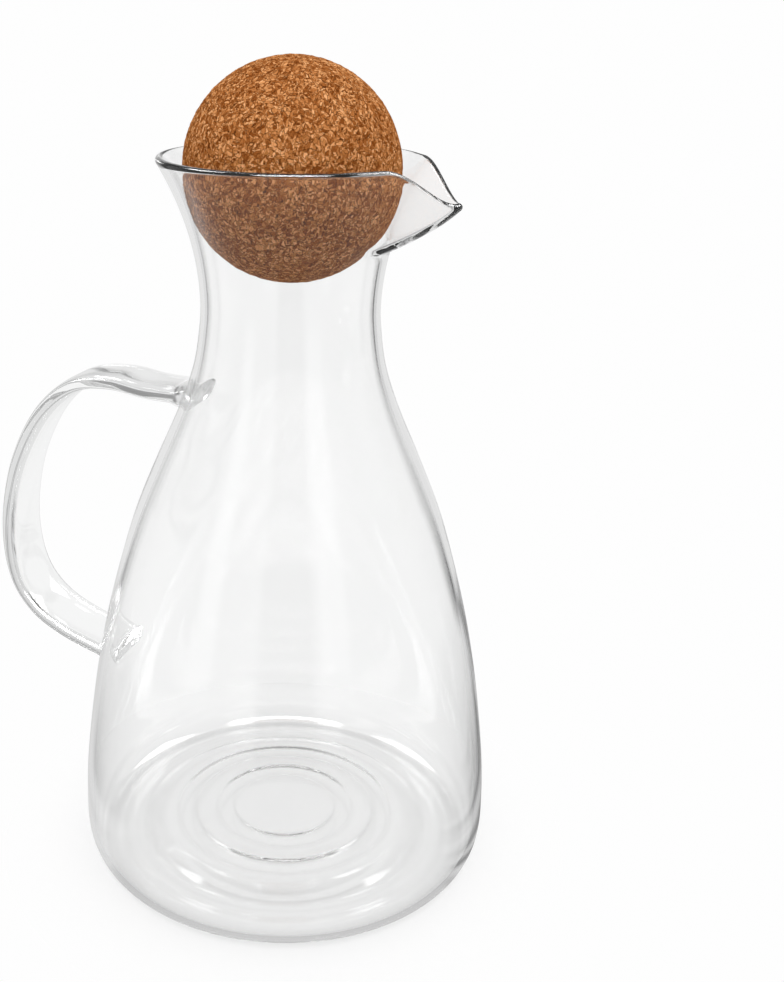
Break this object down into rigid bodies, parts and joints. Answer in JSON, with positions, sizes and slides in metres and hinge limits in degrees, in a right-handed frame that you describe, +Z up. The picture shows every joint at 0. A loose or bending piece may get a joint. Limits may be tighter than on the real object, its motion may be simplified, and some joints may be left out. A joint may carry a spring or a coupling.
{
  "type": "glass jug with cork lid",
  "caption": "Clear blown-glass water jug with a flared mouth, pouring lip, fused strap handle and a cork ball that rests in the mouth as its lid.",
  "frame": {"origin": "centre of the underside, on the table, on the jug's own axis", "axes": "+Z up along the jug's axis; +X towards the pouring lip; the handle is on -X"},
  "size_m": [0.1766, 0.14, 0.2645],
  "materials": {
    "body_glass": "clear fire-polished glass",
    "handle_glass": "clear solid glass strap",
    "cork": "bare agglomerated cork, matt, with visible granules"
  },
  "bodies": {
    "jug": {"jug_body": "body_glass", "handle": "handle_glass"},
    "stopper": {"cork_ball": "cork"}
  },
  "joints": [
    {"name": "stopper_lift", "type": "slide", "parent": "jug", "child": "stopper", "axis": [0, 0, 1], "range_m": [0, 0.08]}
  ]
}
